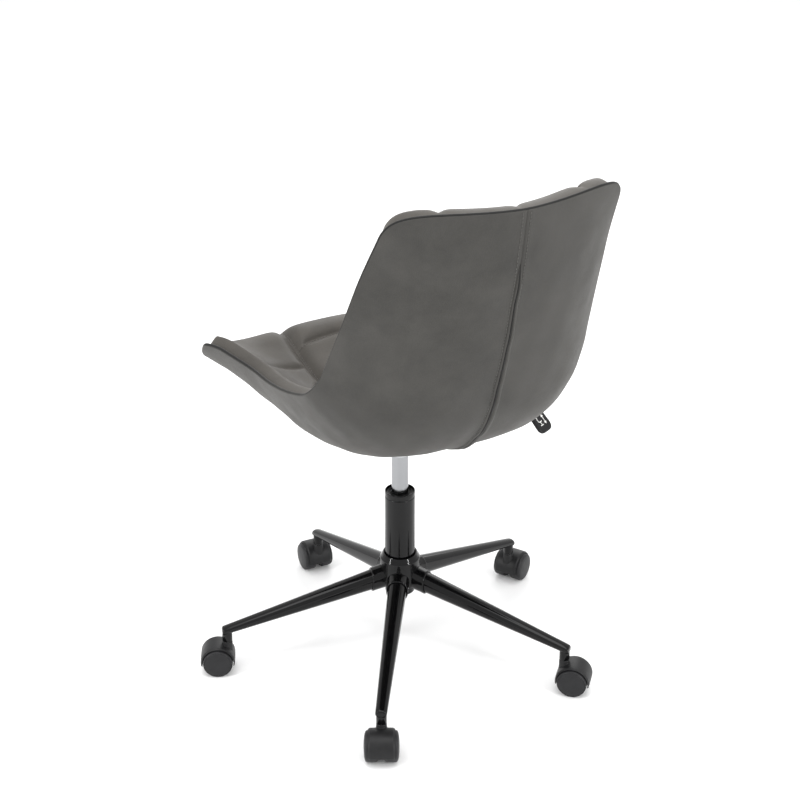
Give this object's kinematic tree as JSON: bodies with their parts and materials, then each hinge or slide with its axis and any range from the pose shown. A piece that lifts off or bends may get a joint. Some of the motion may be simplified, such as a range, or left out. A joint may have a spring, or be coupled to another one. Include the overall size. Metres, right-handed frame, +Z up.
{
  "type": "swivel chair",
  "caption": "Height-adjustable swivel chair: quilted bucket shell in grey leather cloth on a gas column, with a star base on twin-wheel casters.",
  "frame": {"origin": "on the floor, under the gas column's axis", "axes": "+Z up; the seat faces -Y; +X is the sitter's left, and the release lever is on the -X side"},
  "size_m": [0.6667, 0.7204, 0.928],
  "materials": {
    "frame_black": "gloss powder coat",
    "caster_black": "fine grain",
    "wheel_black": "matt",
    "zinc_steel": "bright zinc",
    "bush_black": "matt",
    "piston_alloy": "turned",
    "buffer_rubber": "matt",
    "chrome_tube": "polished",
    "plate_black": "satin powder coat",
    "paddle_black": "satin",
    "shell_plastic": "moulded",
    "cover_leather": "matt, faintly mottled",
    "pad_leather": "matt, quilted",
    "piping_leather": "matt"
  },
  "bodies": {
    "base": {"base_hub": "frame_black", "base_leg_1": "frame_black", "base_leg_2": "frame_black", "base_leg_3": "frame_black", "base_leg_4": "frame_black", "base_leg_5": "frame_black", "caster_sleeve_1": "frame_black", "caster_sleeve_2": "frame_black", "caster_sleeve_3": "frame_black", "caster_sleeve_4": "frame_black", "caster_sleeve_5": "frame_black", "column_tube": "frame_black", "guide_bush": "bush_black", "bearing_race_lower": "zinc_steel"},
    "spindle": {"piston_rod": "zinc_steel", "piston": "piston_alloy", "bearing_balls": "zinc_steel", "bearing_race_upper": "zinc_steel", "rubber_buffer": "buffer_rubber", "rod_washer": "zinc_steel", "retaining_clip": "zinc_steel"},
    "seat": {"gas_cylinder": "chrome_tube", "mounting_plate": "plate_black", "taper_socket": "zinc_steel", "plate_screws": "zinc_steel", "tee_nuts": "zinc_steel", "inner_shell": "shell_plastic", "outer_cover_left": "cover_leather", "outer_cover_right": "cover_leather", "seat_pad": "pad_leather", "back_pad": "pad_leather", "edge_piping": "piping_leather"},
    "lever": {"lever_rod": "plate_black", "lever_paddle": "paddle_black"},
    "pin": {"release_pin": "zinc_steel"},
    "caster_1": {"caster_stem_1": "zinc_steel", "caster_hood_1": "caster_black", "caster_axle_1": "zinc_steel"},
    "wheel_left_1": {"caster_wheel_left_1": "wheel_black"},
    "wheel_right_1": {"caster_wheel_right_1": "wheel_black"},
    "caster_2": {"caster_stem_2": "zinc_steel", "caster_hood_2": "caster_black", "caster_axle_2": "zinc_steel"},
    "wheel_left_2": {"caster_wheel_left_2": "wheel_black"},
    "wheel_right_2": {"caster_wheel_right_2": "wheel_black"},
    "caster_3": {"caster_stem_3": "zinc_steel", "caster_hood_3": "caster_black", "caster_axle_3": "zinc_steel"},
    "wheel_left_3": {"caster_wheel_left_3": "wheel_black"},
    "wheel_right_3": {"caster_wheel_right_3": "wheel_black"},
    "caster_4": {"caster_stem_4": "zinc_steel", "caster_hood_4": "caster_black", "caster_axle_4": "zinc_steel"},
    "wheel_left_4": {"caster_wheel_left_4": "wheel_black"},
    "wheel_right_4": {"caster_wheel_right_4": "wheel_black"},
    "caster_5": {"caster_stem_5": "zinc_steel", "caster_hood_5": "caster_black", "caster_axle_5": "zinc_steel"},
    "wheel_left_5": {"caster_wheel_left_5": "wheel_black"},
    "wheel_right_5": {"caster_wheel_right_5": "wheel_black"}
  },
  "joints": [
    {"name": "column_swivel", "type": "hinge", "parent": "base", "child": "spindle", "pos_m": [0, 0, 0.13], "axis": [0, 0, 1], "continuous": true},
    {"name": "gas_slide", "type": "slide", "parent": "spindle", "child": "seat", "axis": [0, 0, 1], "range_m": [-0.065, 0]},
    {"name": "lever_lift", "type": "hinge", "parent": "seat", "child": "lever", "pos_m": [-0.035, 0, 0.4115], "axis": [0, 1, 0], "range_deg": [0, 4], "stiffness_Nm_per_rad": 1, "springref_deg": -8.59},
    {"name": "pin_press", "type": "slide", "parent": "seat", "child": "pin", "axis": [0, 0, 1], "range_m": [-0.003, 0]},
    {"name": "caster_swivel_1", "type": "hinge", "parent": "base", "child": "caster_1", "pos_m": [0.01859, -0.29542, 0.07], "axis": [0, 0, 1], "continuous": true},
    {"name": "wheel_spin_left_1", "type": "hinge", "parent": "caster_1", "child": "wheel_left_1", "pos_m": [0.01817, -0.31241, 0.025], "axis": [0.9997, -0.0244, 0], "continuous": true},
    {"name": "wheel_spin_right_1", "type": "hinge", "parent": "caster_1", "child": "wheel_right_1", "pos_m": [0.01817, -0.31241, 0.025], "axis": [0.9997, -0.0244, 0], "continuous": true},
    {"name": "caster_swivel_2", "type": "hinge", "parent": "base", "child": "caster_2", "pos_m": [0.2867, -0.07361, 0.07], "axis": [0, 0, 1], "continuous": true},
    {"name": "wheel_spin_left_2", "type": "hinge", "parent": "caster_2", "child": "wheel_left_2", "pos_m": [0.3023, -0.08036, 0.025], "axis": [0.3971, 0.9178, 0], "continuous": true},
    {"name": "wheel_spin_right_2", "type": "hinge", "parent": "caster_2", "child": "wheel_right_2", "pos_m": [0.3023, -0.08036, 0.025], "axis": [0.3971, 0.9178, 0], "continuous": true},
    {"name": "caster_swivel_3", "type": "hinge", "parent": "base", "child": "caster_3", "pos_m": [0.1586, 0.24992, 0.07], "axis": [0, 0, 1], "continuous": true},
    {"name": "wheel_spin_left_3", "type": "hinge", "parent": "caster_3", "child": "wheel_left_3", "pos_m": [0.16616, 0.26515, 0.025], "axis": [-0.8957, 0.4446, 0], "continuous": true},
    {"name": "wheel_spin_right_3", "type": "hinge", "parent": "caster_3", "child": "wheel_right_3", "pos_m": [0.16616, 0.26515, 0.025], "axis": [-0.8957, 0.4446, 0], "continuous": true},
    {"name": "caster_swivel_4", "type": "hinge", "parent": "base", "child": "caster_4", "pos_m": [-0.18868, 0.22807, 0.07], "axis": [0, 0, 1], "continuous": true},
    {"name": "wheel_spin_left_4", "type": "hinge", "parent": "caster_4", "child": "wheel_left_4", "pos_m": [-0.20143, 0.23931, 0.025], "axis": [-0.6613, -0.7501, 0], "continuous": true},
    {"name": "wheel_spin_right_4", "type": "hinge", "parent": "caster_4", "child": "wheel_right_4", "pos_m": [-0.20143, 0.23931, 0.025], "axis": [-0.6613, -0.7501, 0], "continuous": true},
    {"name": "caster_swivel_5", "type": "hinge", "parent": "base", "child": "caster_5", "pos_m": [-0.27521, -0.10897, 0.07], "axis": [0, 0, 1], "continuous": true},
    {"name": "wheel_spin_left_5", "type": "hinge", "parent": "caster_5", "child": "wheel_left_5", "pos_m": [-0.28954, -0.11812, 0.025], "axis": [0.5388, -0.8425, 0], "continuous": true},
    {"name": "wheel_spin_right_5", "type": "hinge", "parent": "caster_5", "child": "wheel_right_5", "pos_m": [-0.28954, -0.11812, 0.025], "axis": [0.5388, -0.8425, 0], "continuous": true}
  ],
  "couplings": [
    {"joint": "pin_press", "follows": "lever_lift", "m_per_rad": -0.035}
  ]
}
